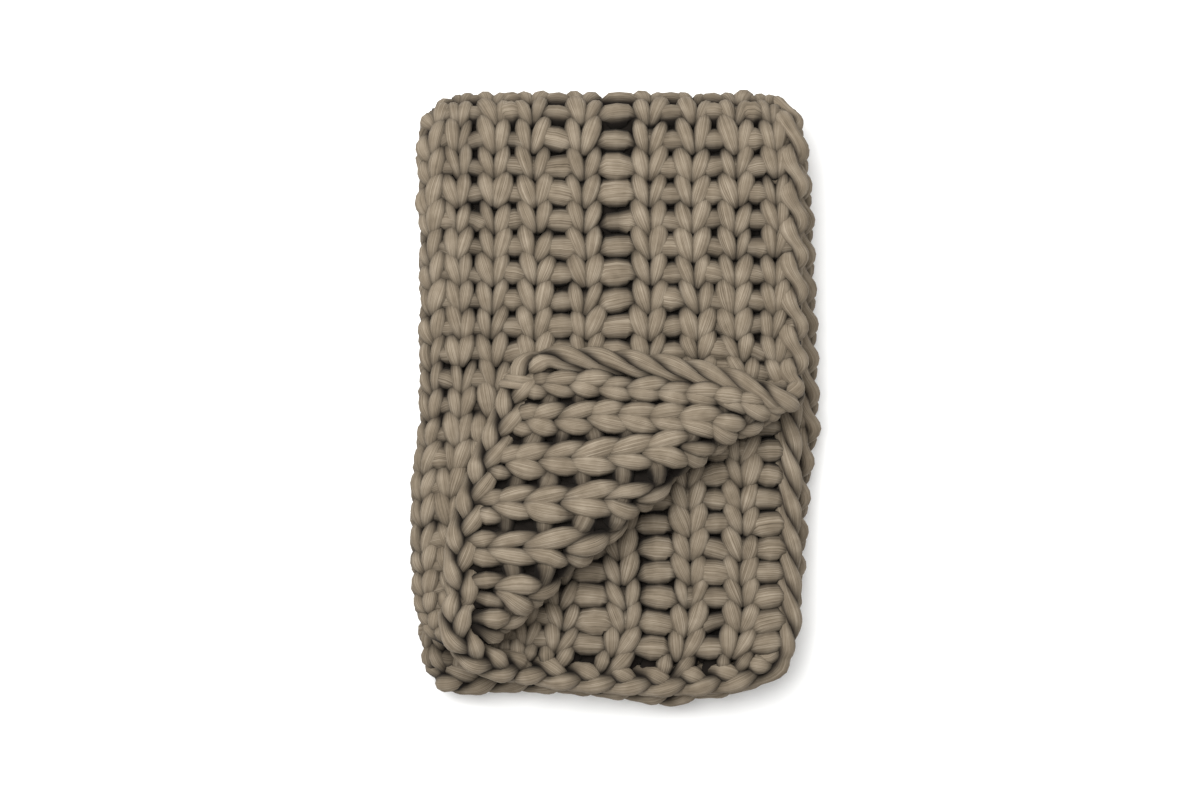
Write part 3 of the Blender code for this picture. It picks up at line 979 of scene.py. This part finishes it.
def wound_tail():
    """Its run of yarn, on a helix round the chain."""
    _, _, out_across, out_along = rim()
    middle, outward, rising, _, _ = laid_rim()
    corner = np.argmax(out_along - out_across) + TAIL_FROM
    forward = unit(middle[corner + 1 : corner + 2] - middle[corner - 1 : corner])
    turn = np.linspace(0.0, math.tau * TAIL_TURNS, TAIL_SAMPLES)[:, None]
    round_it = TAIL_WIDE * np.cos(turn) * outward[corner] + TAIL_DEEP * np.sin(turn) * rising[corner]
    points = middle[corner] + forward * TAIL_PITCH * turn / math.tau + round_it
    thick = np.full(len(points), TAIL_RADIUS)
    # For the painted shade its rise is the depth of its windings, so only its inner side is painted
    # darker.
    return Run(points, thick, np.full(len(points), TAIL_DEEP), unit(round_it))


EDGE_CHAIN = spun("edge_chain", [*plait(), wound_tail()])
print(EDGE_CHAIN.name, "faces", len(EDGE_CHAIN.data.polygons))
PIECES = KNITTING + [EDGE_CHAIN]

# %% [markdown]
# ## Resting on the surface
#
# The lowest loops carry the stack, so they flatten where they touch the surface. A simulation
# would find that shape slowly. Softly pressing up what lies too low comes near it at once.

# %% Flatten what would sink
FLAT_DEPTH = 0.004


def settle(piece):
    """Points near or below the surface are pressed up to it. Gives back how many."""
    mesh = piece.data
    places = np.empty(len(mesh.vertices) * 3)
    mesh.vertices.foreach_get("co", places)
    height = places[2::3]
    low = height < FLAT_DEPTH
    height[low] = FLAT_DEPTH * np.exp((height[low] - FLAT_DEPTH) / FLAT_DEPTH)
    mesh.vertices.foreach_set("co", places)
    mesh.update()
    return np.count_nonzero(low)


print("points pressed flat:", sum(settle(piece) for piece in PIECES))

# %% [markdown]
# The throw is one body, so all its yarn rides on that, and stands for its solid. The knitting is
# soft and springy like a half-filled pad. It is not declared as a sheet, because the surface of
# its yarns is several times that of the flat cloth.

# %% The pieces ride on the throw and stand for its solid
for piece in PIECES:
    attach(piece, "root")
    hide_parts("blanket")

# %% [markdown]
# ## Floor and light
#
# A white table and broad, soft light from the upper left, as for a catalogue picture. One large
# area light gives soft shadows, and a bright surrounding fills them.

# %% Floor
FLOOR_SIZE = 8.0
bpy.ops.mesh.primitive_plane_add(size=FLOOR_SIZE, location=(0, 0, 0))
floor = bpy.context.object
floor.name = "floor"
paint = bpy.data.materials.new("matt_white_table")
paint.use_nodes = True
paint.node_tree.nodes["Principled BSDF"].inputs["Base Color"].default_value = colour("F4F4F3")
paint.node_tree.nodes["Principled BSDF"].inputs["Roughness"].default_value = 0.9
floor.data.materials.append(paint)
print("floor:", FLOOR_SIZE, "m across")

# %% Light
SOFTBOX_PLACE, SOFTBOX_SIZE, SOFTBOX_WATTS = (-0.5, 0.65, 2.5), 1.8, 112.0
SURROUNDING = 0.7

lamp = bpy.data.lights.new("softbox", "AREA")
lamp.size, lamp.energy = SOFTBOX_SIZE, SOFTBOX_WATTS
softbox = bpy.data.objects.new("softbox", lamp)
softbox.location = SOFTBOX_PLACE
to_x, to_y, to_z = (-part for part in SOFTBOX_PLACE)  # from the softbox to the throw
lean = math.atan2(math.hypot(to_x, to_y), -to_z)
softbox.rotation_euler = (lean, 0.0, math.atan2(to_y, to_x) - math.pi / 2)
bpy.context.scene.collection.objects.link(softbox)

world = bpy.data.worlds.new("studio")
world.use_nodes = True
world.node_tree.nodes["Background"].inputs["Color"].default_value = colour("FFFFFF")
world.node_tree.nodes["Background"].inputs["Strength"].default_value = SURROUNDING
bpy.context.scene.world = world
bpy.context.scene.view_settings.view_transform = "Standard"
print("the softbox leans", round(math.degrees(lean), 1), "degrees")
